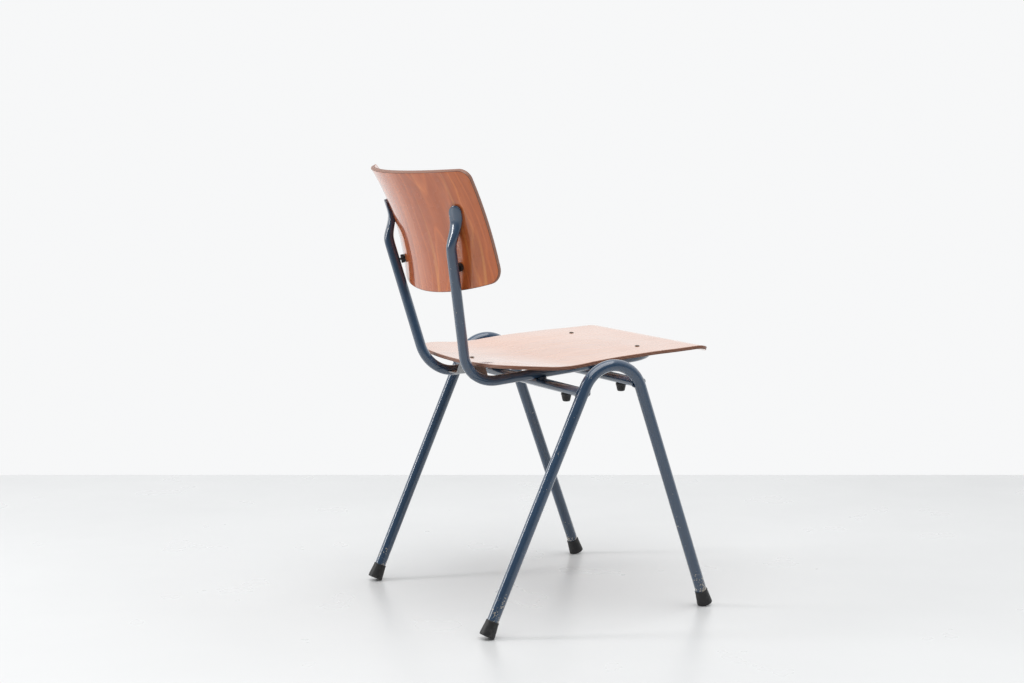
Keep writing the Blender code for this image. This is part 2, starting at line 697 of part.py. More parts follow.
def main():
    clear_scene()
    paint = paint_material()
    rubber = rubber_material()
    rivet_metal = rivet_material()
    sides = ((1, "left"), (-1, "right"))

    seat = build_seat(seat_wood_material())
    backrest = build_backrest(back_wood_material())
    tube = build_frame_tube(paint)
    strap = build_rear_strap(strap_material())
    for place_name, place in (("rear", CROSS_REAR), ("front", CROSS_FRONT)):
        build_cross_tube(f"cross_tube_{place_name}", place, paint)
        for side, tag in sides:
            build_bumper(f"bumper_{place_name}_{tag}", side, place, rubber)
    add_seat_rivet("seat_rivet_rear", *SEAT_RIVET_REAR, seat, strap, rivet_metal)
    for side, tag in sides:
        build_leg_arch(f"leg_arch_{tag}", side, paint)
        build_foot_cap(f"foot_cap_rear_{tag}", side, 1, rubber)
        build_foot_cap(f"foot_cap_front_{tag}", side, -1, rubber)
        bracket = build_seat_bracket(f"seat_bracket_{tag}", side, paint)
        x, y = SEAT_RIVET_FRONT
        add_seat_rivet(f"seat_rivet_front_{tag}", side * x, y, seat, bracket, rivet_metal)
        add_back_rivets(side, tag, backrest, tube, rubber, rivet_metal)


main()
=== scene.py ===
"""Looks of the stacking chair: painted bent tube frame, lacquered moulded plywood, rubber caps and buffers.

Metres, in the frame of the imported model: +Z up, the sitter faces -Y and +X is their left.
"""
import math

import bpy
from mathutils import Matrix, Vector


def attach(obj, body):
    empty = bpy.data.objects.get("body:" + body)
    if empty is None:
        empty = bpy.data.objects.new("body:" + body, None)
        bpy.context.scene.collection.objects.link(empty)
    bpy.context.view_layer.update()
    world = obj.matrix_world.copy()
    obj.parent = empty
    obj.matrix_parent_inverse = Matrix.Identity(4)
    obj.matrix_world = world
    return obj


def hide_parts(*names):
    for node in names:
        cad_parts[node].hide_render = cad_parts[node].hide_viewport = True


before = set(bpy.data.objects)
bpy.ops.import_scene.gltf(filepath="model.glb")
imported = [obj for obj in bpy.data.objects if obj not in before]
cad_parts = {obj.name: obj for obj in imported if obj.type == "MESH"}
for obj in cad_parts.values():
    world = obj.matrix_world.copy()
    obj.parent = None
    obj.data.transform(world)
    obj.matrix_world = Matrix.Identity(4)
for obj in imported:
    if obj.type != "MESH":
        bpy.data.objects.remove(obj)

bpy.ops.object.select_all(action="DESELECT")
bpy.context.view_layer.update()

MIDDLE_Y = 0.0130                       # the layout below is measured from the middle of the feet
SIDES = ((1, "left"), (-1, "right"))

# Leg arches
LEG_RADIUS = 0.0100
LEG_APEX = Vector((0.2268, -0.0267, 0.5365))
LEG_FOOT = (0.2195, 0.2195)             # x and y of the leg axis at floor level
LEG_BEND = 0.0589

# Foot caps
CAP_LENGTH = 0.027
CAP_TOP = 0.0114
CAP_BOTTOM = 0.0134
CAP_WEAR = 0.0010

# Seat-and-back tube
TUBE_RADIUS = 0.0090
BACK_CORNER = Vector((0.0727, 0.1748, 0.4002))      # upright meets seat run
UPRIGHT_SLOPE = Vector((0.2016, 0.2307, 1.0))       # outward and backward travel for each metre of rise
FRONT_CORNER = Vector((0.0965, -0.1958, 0.4355))    # seat run meets front cross run
BACK_BEND = 0.0620
FRONT_BEND = 0.0505
TIP_V = 0.1370                          # heights on the backrest: the tip,
PRESS_START_V = 0.0600                  # where the tube starts to widen,
WIDE_V = TIP_V - 0.015                  # where it has its full width,
THIN_START_V = 0.0700                   # where it starts to thin from behind,
MEET_START_V = 0.0700                   # where it starts to lean in to the backrest
MEET_END_V = 0.1120                     # and where it lies against it
TIP_HALF_WIDTH = 0.0135
TIP_THICKNESS = 0.0100
TIP_FRONT_SHARE = 0.27                  # share of the thickness in front of the widest line
TIP_SPLAY = 0.0045                      # how far the tips lean outward of the straight line

# Cross tubes: y and z of each axis
CROSS_HALF_DEPTH = 0.0125
CROSS_HALF_HEIGHT = 0.0076
CROSS_PLACES = {"rear": (0.0362, 0.3968), "front": (-0.0730, 0.4064)}

# Buffers under the cross tubes
BUFFER_X = 0.168
BUFFER_TOP = 0.0091
BUFFER_BOTTOM = 0.0068
BUFFER_LENGTH = 0.0140

# Seat
SEAT_THICKNESS = 0.0060
SEAT_REAR = (0.1480, 0.4382)
SEAT_LENGTH = 0.4095
SEAT_REAR_HALF_WIDTH = 0.1999
SEAT_FRONT_HALF_WIDTH = 0.1799
SEAT_REAR_CORNER = 0.0717
SEAT_FRONT_CORNER = 0.0337
SEAT_REAR_BOW = 0.0181
SEAT_SIDE_RISE = 0.0080
SEAT_FADE = 0.60
SEAT_SLOPES = (                         # share of the length, slope in degrees
    (0.00, -2.6), (0.153, -3.3), (0.327, 8.4), (0.532, 5.1), (0.736, 1.7), (0.90, 3.2), (1.00, -29.6))

# Backrest
BACK_THICKNESS = 0.0080
BACK_RADIUS = 0.3391
BACK_RECLINE = math.radians(19.24)
BACK_FOOT = Vector((0.0, 0.2171, 0.5688))
BACK_HEIGHT = 0.1927
BACK_HALF_WIDTH = 0.1895
BACK_TOP_CORNER = 0.0178
BACK_BOTTOM_CORNER = 0.0215
BACK_TOP_BOW = 0.0110
BACK_BOTTOM_BOW = 0.0117
BACK_BULGE = 0.0110                     # how far the middle of the height is pressed forward
BACK_WAIST = 0.0055                     # how far each side edge draws in at the middle of the height

EDGE_ROUNDING = 0.0009                  # the plywood's broken edges
PLY_SHEETS = 5
WELD_RADIUS = 0.0016
BEAD_SHARE = 0.15                       # bead radius of the ring a weld is shaped from, ring radius 1
CONTACT_GAP = 0.0006                    # between a pressed tip and the backrest
TUBE_SIDES = 40


# ---- camera, light and room ------------------------------------------------------------------------------

EYE = Vector((-2.7876, 1.5777, 0.8541))
HEADING = math.radians(118.954)         # clockwise from +Y
LOOK_DOWN = math.radians(7.0565)
LENS = 63.95
AHEAD = Vector((math.sin(HEADING), math.cos(HEADING), 0))
RIGHT = Vector((AHEAD.y, -AHEAD.x, 0))
WALL_DISTANCE = 4.293                   # from the camera to the end of the floor
FLOOR_SIZE = 12
DIM_ROOM = (0.17, 0.175, 0.18)
WHITE_WALL = (0.93, 0.935, 0.94)


def add_camera():
    camera = bpy.data.cameras.new("camera")
    camera.lens = LENS
    camera.sensor_width = 36
    obj = bpy.data.objects.new("camera", camera)
    bpy.context.scene.collection.objects.link(obj)
    obj.location = EYE
    toward = AHEAD * math.cos(LOOK_DOWN) - Vector((0, 0, math.sin(LOOK_DOWN)))
    obj.rotation_euler = toward.to_track_quat("-Z", "Y").to_euler()
    bpy.context.scene.camera = obj


def add_softbox(name, place, target, width, height, power):
    light = bpy.data.lights.new(name, "AREA")
    light.shape = "RECTANGLE"
    light.size = width
    light.size_y = height
    light.energy = power
    obj = bpy.data.objects.new(name, light)
    bpy.context.scene.collection.objects.link(obj)
    obj.location = place
    obj.rotation_euler = (target - place).to_track_quat("-Z", "Y").to_euler()


def add_world():
    """White studio wall ahead, a dimmer room behind the camera."""
    world = bpy.data.worlds.new("studio")
    world.use_nodes = True
    bpy.context.scene.world = world
    tree = world.node_tree
    background = tree.nodes["Background"]
    place = add_node(tree, "ShaderNodeTexCoord")
    facing = add_node(tree, "ShaderNodeVectorMath", operation="DOT_PRODUCT")
    facing.inputs[1].default_value = AHEAD
    tree.links.new(place.outputs["Generated"], facing.inputs[0])
    toward_wall = map_range(tree, facing.outputs["Value"], -0.6, 1.0, 0.0, 1.0)
    room = colour_ramp(tree, toward_wall, ((0.10, DIM_ROOM), (0.52, WHITE_WALL)))
    tree.links.new(room, background.inputs["Color"])
    background.inputs["Strength"].default_value = 1.0


def add_room():
    """Painted floor that ends where the wall stands."""
    middle = EYE + AHEAD * (WALL_DISTANCE - FLOOR_SIZE / 2) + RIGHT * 0.3
    spot = (middle.x, middle.y, 0)
    bpy.ops.mesh.primitive_plane_add(size=FLOOR_SIZE, location=spot, rotation=(0, 0, -HEADING))
    floor = bpy.context.object
    floor.name = "floor"
    floor.data.materials.append(floor_paint())


# ---- material helpers ------------------------------------------------------------------------------------

def add_node(tree, kind, **settings):
    node = tree.nodes.new(kind)
    for key, value in settings.items():
        setattr(node, key, value)
    return node


def feed(tree, socket, value):
    """Link an output, or set a plain value."""
    if isinstance(value, bpy.types.NodeSocket):
        tree.links.new(value, socket)
    else:
        socket.default_value = value


def colour_ramp(tree, factor, stops):
    node = add_node(tree, "ShaderNodeValToRGB")
    ramp = node.color_ramp
    while len(ramp.elements) < len(stops):
        ramp.elements.new(1.0)
    for element, (position, colour) in zip(ramp.elements, stops):
        element.position = position
        element.color = (*colour, 1)
    tree.links.new(factor, node.inputs["Fac"])
    return node.outputs["Color"]


def map_range(tree, value, low, high, new_low, new_high):
    node = add_node(tree, "ShaderNodeMapRange")
    tree.links.new(value, node.inputs["Value"])
    for name, number in (("From Min", low), ("From Max", high), ("To Min", new_low), ("To Max", new_high)):
        node.inputs[name].default_value = number
    return node.outputs["Result"]


def mapped(tree, source, scale=(1, 1, 1), shift=(0, 0, 0)):
    node = add_node(tree, "ShaderNodeMapping")
    tree.links.new(source, node.inputs["Vector"])
    node.inputs["Scale"].default_value = scale
    node.inputs["Location"].default_value = shift
    return node.outputs["Vector"]


def noise(tree, place, scale, detail, roughness=0.5):
    node = add_node(tree, "ShaderNodeTexNoise")
    tree.links.new(place, node.inputs["Vector"])
    node.inputs["Scale"].default_value = scale
    node.inputs["Detail"].default_value = detail
    node.inputs["Roughness"].default_value = roughness
    return node.outputs["Fac"]


def calculate(tree, operation, first, second=0.0, third=0.0):
    node = add_node(tree, "ShaderNodeMath", operation=operation)
    for socket, value in zip(node.inputs, (first, second, third)):
        feed(tree, socket, value)
    return node.outputs["Value"]


def blend_colours(tree, factor, first, second):
    node = add_node(tree, "ShaderNodeMix", data_type="RGBA")
    feed(tree, node.inputs[0], factor)
    feed(tree, node.inputs[6], first)
    feed(tree, node.inputs[7], second)
    return node.outputs[2]


def add_bump(tree, shader, height, strength, distance):
    node = add_node(tree, "ShaderNodeBump")
    node.inputs["Strength"].default_value = strength
    node.inputs["Distance"].default_value = distance
    tree.links.new(height, node.inputs["Height"])
    tree.links.new(node.outputs["Normal"], shader.inputs["Normal"])


def new_material(name):
    material = bpy.data.materials.new(name)
    material.use_nodes = True
    tree = material.node_tree
    return material, tree, tree.nodes["Principled BSDF"]


def object_place(tree):
    return add_node(tree, "ShaderNodeTexCoord").outputs["Object"]


def uv_place(tree):
    return add_node(tree, "ShaderNodeTexCoord").outputs["UV"]


# ---- materials -------------------------------------------------------------------------------------------

def floor_paint():
    """Pale grey floor paint, faintly glossy and slightly uneven."""
    material, tree, shader = new_material("floor_paint")
    place = object_place(tree)
    clouds = noise(tree, place, 1.3, 4)
    colour = colour_ramp(tree, clouds, ((0.3, (0.620, 0.628, 0.630)), (0.7, (0.650, 0.658, 0.660))))
    tree.links.new(colour, shader.inputs["Base Color"])
    gloss = map_range(tree, noise(tree, place, 6, 4), 0.3, 0.7, 0.26, 0.36)
    tree.links.new(gloss, shader.inputs["Roughness"])
    add_bump(tree, shader, noise(tree, place, 9, 5), 0.05, 0.004)
    return material


def frame_paint():
    """Glossy blue-grey enamel with faint orange peel, chipped to the primer near the feet."""
    material, tree, shader = new_material("blue_grey_enamel")
    place = object_place(tree)
    tone = noise(tree, place, 9, 3)
    paint = colour_ramp(tree, tone, ((0.3, (0.022, 0.052, 0.100)), (0.7, (0.031, 0.066, 0.122))))
    axes = add_node(tree, "ShaderNodeSeparateXYZ")
    tree.links.new(place, axes.inputs["Vector"])
    low = map_range(tree, axes.outputs["Z"], 0.030, 0.085, 1.0, 0.0)
    patches = noise(tree, mapped(tree, place, shift=(0.37, 0.11, 0.05)), 75, 2)
    grit = noise(tree, place, 330, 3, 0.6)
    likely = calculate(tree, "MULTIPLY_ADD", low, 0.115, calculate(tree, "MULTIPLY", patches, 0.45))
    score = calculate(tree, "MULTIPLY_ADD", grit, 0.55, likely)
    chipped = map_range(tree, score, 0.665, 0.680, 0.0, 1.0)
    primer = colour_ramp(tree, grit, ((0.4, (0.20, 0.17, 0.13)), (0.7, (0.42, 0.39, 0.34))))
    tree.links.new(blend_colours(tree, chipped, paint, primer), shader.inputs["Base Color"])
    gloss = map_range(tree, noise(tree, place, 40, 4), 0.3, 0.7, 0.14, 0.22)
    tree.links.new(calculate(tree, "MULTIPLY_ADD", chipped, 0.45, gloss), shader.inputs["Roughness"])
    peel = calculate(tree, "MULTIPLY_ADD", chipped, -1.5, noise(tree, place, 420, 2))
    add_bump(tree, shader, peel, 0.10, 0.0004)
    shader.inputs["Coat Weight"].default_value = 1.0
    shader.inputs["Coat Roughness"].default_value = 0.035
    return material


def black_rubber():
    """Matt moulded rubber with a fine grain and pale floor dust."""
    material, tree, shader = new_material("moulded_rubber")
    place = object_place(tree)
    dust = map_range(tree, noise(tree, place, 130, 5, 0.65), 0.52, 0.78, 0.0, 1.0)
    colour = blend_colours(tree, dust, (0.012, 0.012, 0.013, 1), (0.060, 0.058, 0.054, 1))
    tree.links.new(colour, shader.inputs["Base Color"])
    tree.links.new(map_range(tree, dust, 0, 1, 0.50, 0.80), shader.inputs["Roughness"])
    add_bump(tree, shader, noise(tree, place, 900, 3), 0.25, 0.0003)
    return material


def zinc_plate():
    """Dull zinc with cloudy spangle and faint rubbing along its length."""
    material, tree, shader = new_material("zinc_plate")
    place = object_place(tree)
    cloud = noise(tree, place, 90, 4)
    colour = colour_ramp(tree, cloud, ((0.3, (0.27, 0.275, 0.28)), (0.7, (0.42, 0.43, 0.44))))
    tree.links.new(colour, shader.inputs["Base Color"])
    tree.links.new(map_range(tree, cloud, 0.3, 0.7, 0.34, 0.55), shader.inputs["Roughness"])
    shader.inputs["Metallic"].default_value = 0.75
    add_bump(tree, shader, noise(tree, mapped(tree, place, (40, 900, 900)), 1, 2), 0.12, 0.0002)
    return material


def rivet_metal():
    """Tarnished metal with a blotchy stain."""
    material, tree, shader = new_material("tarnished_rivet")
    place = object_place(tree)
    stain = noise(tree, place, 500, 3)
    colour = colour_ramp(tree, stain, ((0.35, (0.055, 0.040, 0.030)), (0.65, (0.17, 0.13, 0.10))))
    tree.links.new(colour, shader.inputs["Base Color"])
    tree.links.new(map_range(tree, stain, 0.3, 0.7, 0.30, 0.50), shader.inputs["Roughness"])
    shader.inputs["Metallic"].default_value = 0.8
    add_bump(tree, shader, stain, 0.2, 0.0002)
    return material


ARCH_STRETCH = 0.16                     # the figure's arches are this much narrower than long
RINGS_PER_METRE = 52.0
RING_LEVELS = ((0.0, 0.42), (0.70, 0.48), (0.88, 0.86), (1.0, 0.42))


def veneer(name, hearts, tones, gold_tone, pore_tone, contrast):
    """Lacquered rotary-cut veneer: arched figure, long golden streaks, fine pores along the grain.

    The UV map is in metres, v along the grain. hearts are the (u, v) places the arches close around.
    """
    material, tree, shader = new_material(name)
    place = uv_place(tree)
    drift = noise(tree, mapped(tree, place, (9, 3.2, 1)), 1, 3)
    figure = None
    for u, v in hearts:
        axes = add_node(tree, "ShaderNodeSeparateXYZ")
        tree.links.new(mapped(tree, place, shift=(-u, -v, 0)), axes.inputs["Vector"])
        across = axes.outputs["X"]
        along = calculate(tree, "MULTIPLY", axes.outputs["Y"], ARCH_STRETCH)
        across_squared = calculate(tree, "MULTIPLY", across, across)
        along_squared = calculate(tree, "MULTIPLY", along, along)
        reach = calculate(tree, "SQRT", calculate(tree, "ADD", across_squared, along_squared))
        figure = reach if figure is None else calculate(tree, "SMOOTH_MIN", figure, reach, 0.02)
    wavy = calculate(tree, "MULTIPLY_ADD", drift, 0.085, figure)
    rings = calculate(tree, "FRACT", calculate(tree, "MULTIPLY", wavy, RINGS_PER_METRE))
    greys = tuple((place, (level,) * 3) for place, level in RING_LEVELS)
    ring_tone = colour_ramp(tree, rings, greys)
    broad = noise(tree, mapped(tree, place, (26, 1.6, 1), (3.1, 0.4, 0)), 1, 3, 0.55)
    fibres = noise(tree, mapped(tree, place, (620, 11, 1)), 1, 4, 0.6)
    tone = calculate(tree, "MULTIPLY_ADD", broad, 0.75, calculate(tree, "MULTIPLY", ring_tone, 0.34))
    tone = calculate(tree, "MULTIPLY_ADD", fibres, 0.22, tone)
    tone = calculate(tree, "ADD", tone, -0.20)
    body = colour_ramp(tree, tone, tuple(zip((0.20, 0.42, 0.60, 0.80), tones)))
    streak = noise(tree, mapped(tree, place, (70, 2.4, 1), (0.8, 1.7, 0)), 1, 2)
    gold = map_range(tree, streak, 0.60, 0.72, 0.0, contrast)
    streaked = blend_colours(tree, gold, body, (*gold_tone, 1))
    pores = map_range(tree, noise(tree, mapped(tree, place, (1500, 55, 1)), 1, 2), 0.62, 0.74, 0.0, contrast)
    tree.links.new(blend_colours(tree, pores, streaked, (*pore_tone, 1)), shader.inputs["Base Color"])
    worn = noise(tree, mapped(tree, place, (14, 14, 1)), 1, 4)
    tree.links.new(map_range(tree, worn, 0.3, 0.7, 0.20, 0.34), shader.inputs["Roughness"])
    add_bump(tree, shader, calculate(tree, "MULTIPLY_ADD", pores, -0.6, fibres), 0.06, 0.0003)
    shader.inputs["Coat Weight"].default_value = 1.0
    shader.inputs["Coat Roughness"].default_value = 0.035
    shader.inputs["Coat IOR"].default_value = 1.55
    shader.inputs["Specular IOR Level"].default_value = 0.15
    return material


def ply_edge():
    """Sanded edge of the moulded sheet: alternate long-grain and end-grain layers under lacquer."""
    material, tree, shader = new_material("ply_edge")
    place = object_place(tree)
    depth = add_node(tree, "ShaderNodeAttribute", attribute_name="ply_depth").outputs["Fac"]
    sheets = calculate(tree, "MULTIPLY", depth, PLY_SHEETS)
    waver = calculate(tree, "MULTIPLY_ADD", noise(tree, place, 60, 2), 0.35, sheets)
    layer = calculate(tree, "PINGPONG", waver, 1.0)
    layers = colour_ramp(tree, layer, (
        (0.30, (0.120, 0.042, 0.027)), (0.55, (0.240, 0.100, 0.062)), (0.75, (0.360, 0.180, 0.110))))
    speckle = map_range(tree, noise(tree, place, 850, 3), 0.45, 0.75, 0.0, 0.5)
    tree.links.new(blend_colours(tree, speckle, layers, (0.09, 0.030, 0.02, 1)), shader.inputs["Base Color"])
    shader.inputs["Roughness"].default_value = 0.42
    add_bump(tree, shader, layer, 0.15, 0.0003)
    return material


# ---- mesh helpers ----------------------------------------------------------------------------------------

def edit():
    bpy.ops.object.mode_set(mode="EDIT")


def done():
    bpy.ops.object.mode_set(mode="OBJECT")


def start_ring(name, centre, direction, radius, sides=TUBE_SIDES):
    """A ring square to a direction, left selected in edit mode."""
    bpy.ops.object.select_all(action="DESELECT")
    turn = direction.to_track_quat("Z", "Y").to_euler()
    bpy.ops.mesh.primitive_circle_add(vertices=sides, radius=radius, location=centre, rotation=turn)
    bpy.ops.object.transform_apply(location=True, rotation=True, scale=True)
    bpy.context.object.name = name
    edit()
    bpy.ops.mesh.select_all(action="SELECT")


def draw_out(move, grow=1.0, centre=None):
    """Extrude the selected ring by a move, then scale it about its new centre."""
    bpy.ops.mesh.extrude_region_move(TRANSFORM_OT_translate={"value": move})
    if grow != 1.0:
        bpy.ops.transform.resize(value=(grow, grow, grow), center_override=centre)


def bend_round(centre, axis, angle, steps):
    """Sweep the selected ring round a bend; the angle is right-handed about the axis."""
    bpy.ops.mesh.spin(steps=steps, angle=-angle, center=centre, axis=axis)


def close_end():
    bpy.ops.mesh.edge_face_add()


def finish_mesh(smooth_angle=45):
    """Weld doubles, face outward, leave edit mode and shade smooth."""
    bpy.ops.mesh.select_all(action="SELECT")
    bpy.ops.mesh.remove_doubles(threshold=0.00003)
    bpy.ops.mesh.normals_make_consistent(inside=False)
    done()
    obj = bpy.context.object
    bpy.ops.object.shade_smooth_by_angle(angle=math.radians(smooth_angle))
    return obj


def apply_modifier(obj, kind, **settings):
    bpy.context.view_layer.objects.active = obj
    modifier = obj.modifiers.new(kind.lower(), kind)
    for key, value in settings.items():
        setattr(modifier, key, value)
    bpy.ops.object.modifier_apply(modifier=modifier.name)


def mirrored_copy(obj, name):
    """The same piece for the other side, with its own mesh."""
    twin = obj.copy()
    twin.data = obj.data.copy()
    twin.name = name
    bpy.context.scene.collection.objects.link(twin)
    twin.data.transform(Matrix.Scale(-1, 4, (1, 0, 0)))
    twin.data.flip_normals()
    return twin


def in_place(obj, node, material=None):
    """Move from the layout's origin to the model's, name it, and give it its body, node and finish."""
    obj.data.transform(Matrix.Translation((0, -MIDDLE_Y, 0)))
    obj.name = node + "_look"
    if material:
        obj.data.materials.clear()
        obj.data.materials.append(material)
    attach(obj, "root")
    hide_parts(node)


def join_pieces(main, others):
    bpy.ops.object.select_all(action="DESELECT")
    for obj in (*others, main):
        obj.select_set(True)
    bpy.context.view_layer.objects.active = main
    bpy.ops.object.join()
    return main


def corner_arc(before, corner, after, radius):
    """Start point, centre, axis and angle of the arc that rounds a corner."""
    back = (before - corner).normalized()
    onward = (after - corner).normalized()
    half = back.angle(onward) / 2
    start = corner + back * radius / math.tan(half)
    end = corner + onward * radius / math.tan(half)
    centre = corner + (back + onward).normalized() * radius / math.sin(half)
    axis = (start - centre).cross(end - centre).normalized()
    return start, end, centre, axis, math.pi - 2 * half


# ---- legs and caps ---------------------------------------------------------------------------------------

def cap_base(end):
    """Centre of the cap's bottom disc on the +X side, and the direction up the leg."""
    foot = Vector((LEG_FOOT[0], end * LEG_FOOT[1], 0))
    up = (LEG_APEX - foot).normalized()
    lean = math.sqrt(1 - up.z ** 2)
    return foot + up * ((CAP_BOTTOM * lean - CAP_WEAR) / up.z), up


def make_leg_arch():
    """Straight leg, bend and straight leg in one sweep, both ends hidden in their caps."""
    rear, rear_up = cap_base(1)
    front, front_up = cap_base(-1)
    cap_floor = 0.006
    begin = rear + rear_up * cap_floor
    finish = front + front_up * cap_floor
    start, end, centre, axis, angle = corner_arc(begin, LEG_APEX, finish, LEG_BEND)
    start_ring("leg_arch", begin, rear_up, LEG_RADIUS)
    close_end()
    draw_out(start - begin)
    bend_round(centre, axis, angle, 40)
    draw_out(finish - end)
    close_end()
    return finish_mesh()


def make_foot_cap(end, ribbed):
    """Turned profile stepped up the leg: worn rim, plain or finely ribbed sides, rolled lip."""
    base, up = cap_base(end)
    steps = [(CAP_BOTTOM - 0.0022, 0.0), (CAP_BOTTOM - 0.0007, 0.0003), (CAP_BOTTOM - 0.0001, 0.0011),
             (CAP_BOTTOM, 0.0022), (CAP_BOTTOM - 0.0002, 0.0045)]
    ribs = 18
    for i in range(ribs + 1):
        share = i / ribs
        radius = CAP_BOTTOM - 0.0002 + (CAP_TOP - CAP_BOTTOM) * share
        ridge = 0.00018 if ribbed and i % 2 else 0.0
        steps.append((radius - ridge, 0.0055 + (CAP_LENGTH - 0.0085) * share))
    steps += [(CAP_TOP, CAP_LENGTH - 0.0022), (CAP_TOP - 0.0001, CAP_LENGTH - 0.0008),
              (CAP_TOP - 0.0005, CAP_LENGTH - 0.0001), (LEG_RADIUS + 0.0003, CAP_LENGTH - 0.0002),
              (LEG_RADIUS - 0.0002, CAP_LENGTH - 0.0015)]
    start_ring("foot_cap", base, up, steps[0][0], 48)
    close_end()
    for (radius, height), (wider, higher) in zip(steps, steps[1:]):
        draw_out(up * (higher - height), wider / radius, base + up * higher)
    close_end()
    bpy.ops.mesh.select_all(action="SELECT")
    bpy.ops.mesh.bisect(plane_co=(0, 0, 0), plane_no=(0, 0, 1), clear_inner=True, use_fill=True)
    return finish_mesh(38)


# ---- cross tubes and buffers -----------------------------------------------------------------------------

def leg_distance(point):
    """Distance from a point on the +X side to the leg arch's axis."""
    rear, rear_up = cap_base(1)
    front, front_up = cap_base(-1)
    start, end, centre, axis, angle = corner_arc(rear, LEG_APEX, front, LEG_BEND)
    flat = point - centre
    out_of_plane = flat.dot(axis)
    in_plane = flat - axis * out_of_plane
    best = math.hypot(in_plane.length - LEG_BEND, out_of_plane)
    middle = (start + end) / 2 - centre
    if in_plane.angle(middle) < angle / 2:
        return best
    reach = math.inf
    for a, b in ((rear, start), (front, end)):
        run = b - a
        t = min(max((point - a).dot(run) / run.length_squared, 0), 1)
        reach = min(reach, (a + run * t - point).length)
    return reach


def meets_leg(y, z, clearance):
    """x at which a line along X comes this close to the leg's surface."""
    low = LEG_APEX.x - 0.030
    high = LEG_APEX.x - 0.004
    for _ in range(18):
        middle = (low + high) / 2
        if leg_distance(Vector((middle, y, z))) > LEG_RADIUS + clearance:
            low = middle
        else:
            high = middle
    return low


def oval(angle):
    """Point on an oval a little boxier than an ellipse, for half sizes of 1."""
    squareness = 2.4
    c = math.cos(angle)
    s = math.sin(angle)
    return math.copysign(abs(c) ** (2 / squareness), c), math.copysign(abs(s) ** (2 / squareness), s)


def make_cross_tube(place):
    """Oval tube from leg to leg, its ends fitted round the legs."""
    y, z = place
    start_ring("cross_tube", Vector((0, y, z)), Vector((1, 0, 0)), 1.0)
    done()
    tube = bpy.context.object
    for vert in tube.data.vertices:
        across, up = oval(math.atan2(vert.co.z - z, vert.co.y - y))
        vert.co = (0, y + across * CROSS_HALF_DEPTH, z + up * CROSS_HALF_HEIGHT)
    edit()
    bpy.ops.mesh.select_all(action="SELECT")
    for x in (0.05, 0.05, 0.05, 0.05, 0.02):
        draw_out((x, 0, 0))
    done()
    for vert in tube.data.vertices:
        if vert.select:
            vert.co.x = meets_leg(vert.co.y, vert.co.z, -0.0008)
    edit()
    finish_mesh()
    apply_modifier(tube, "MIRROR", use_axis=(True, False, False), merge_threshold=0.0001)
    return tube


def make_end_weld(place, side):
    """Uneven bead where a cross tube meets a leg."""
    y, z = place
    bpy.ops.object.select_all(action="DESELECT")
    bpy.ops.mesh.primitive_torus_add(
        major_segments=72, minor_segments=10, major_radius=1.0, minor_radius=BEAD_SHARE,
        location=(0, 0, 0), rotation=(0, math.radians(90), 0))
    bpy.ops.object.transform_apply(location=False, rotation=True, scale=False)
    bead = bpy.context.object
    for vert in bead.data.vertices:
        angle = math.atan2(vert.co.z, vert.co.y)
        across, up = oval(angle)
        rim_y = y + across * (CROSS_HALF_DEPTH + 0.0002)
        rim_z = z + up * (CROSS_HALF_HEIGHT + 0.0002)
        ripple = 1 + 0.22 * math.sin(angle * 23) + 0.15 * math.sin(angle * 9 + 1.3)
        swell = WELD_RADIUS / BEAD_SHARE * ripple
        out = (math.hypot(vert.co.y, vert.co.z) - 1.0) * swell
        rim_x = meets_leg(rim_y, rim_z, 0.0004) + vert.co.x * swell
        vert.co = (side * rim_x, rim_y + math.cos(angle) * out, rim_z + math.sin(angle) * out)
    edit()
    return finish_mesh(80)


def make_crossing_weld(x, y, z, seed):
    """Short flattened bead where the seat tube sits on a cross tube."""
    bpy.ops.object.select_all(action="DESELECT")
    bpy.ops.mesh.primitive_uv_sphere_add(segments=24, ring_count=12, radius=1, location=(0, 0, 0))
    bead = bpy.context.object
    for vert in bead.data.vertices:
        lump = 1 + 0.16 * math.sin(7 * vert.co.y + seed) + 0.10 * math.sin(11 * vert.co.x + 2 * seed)
        vert.co = (x + vert.co.x * 0.0026 * lump, y + vert.co.y * 0.0085, z + vert.co.z * 0.0022 * lump)
    edit()
    return finish_mesh(80)


def make_buffer(place):
    """Tapered rubber buffer with a thin top flange and a rounded tip."""
    y, z = place
    top = Vector((BUFFER_X, y, z - CROSS_HALF_HEIGHT + 0.0002))
    down = Vector((0, 0, -1))
    steps = [(BUFFER_TOP, 0.0), (BUFFER_TOP, 0.0028),
             (BUFFER_TOP - 0.0003, 0.0032), (BUFFER_TOP - 0.0006, 0.0036)]
    for i in range(1, 6):
        share = i / 5
        radius = BUFFER_TOP - 0.0006 + (BUFFER_BOTTOM - BUFFER_TOP + 0.0006) * share
        steps.append((radius, 0.0036 + 0.0080 * share))
    steps += [(BUFFER_BOTTOM - 0.0004, 0.0128), (BUFFER_BOTTOM - 0.0012, 0.0136),
              (BUFFER_BOTTOM - 0.0026, BUFFER_LENGTH)]
    start_ring("buffer", top, down, steps[0][0])
    close_end()
    for (radius, height), (wider, lower) in zip(steps, steps[1:]):
        draw_out(down * (lower - height), wider / radius, top + down * lower)
    bpy.ops.mesh.inset(thickness=0.0012, depth=0.0)
    close_end()
    return finish_mesh(38)


# ---- backrest and seat -----------------------------------------------------------------------------------

BACK_UP = Vector((0, math.sin(BACK_RECLINE), math.cos(BACK_RECLINE)))
BACK_FORWARD = Vector((0, -math.cos(BACK_RECLINE), math.sin(BACK_RECLINE)))


def bulge(v):
    """How far the backrest is pressed forward at height v."""
    share = v / BACK_HEIGHT
    return BACK_BULGE * 4 * share * (1 - share)


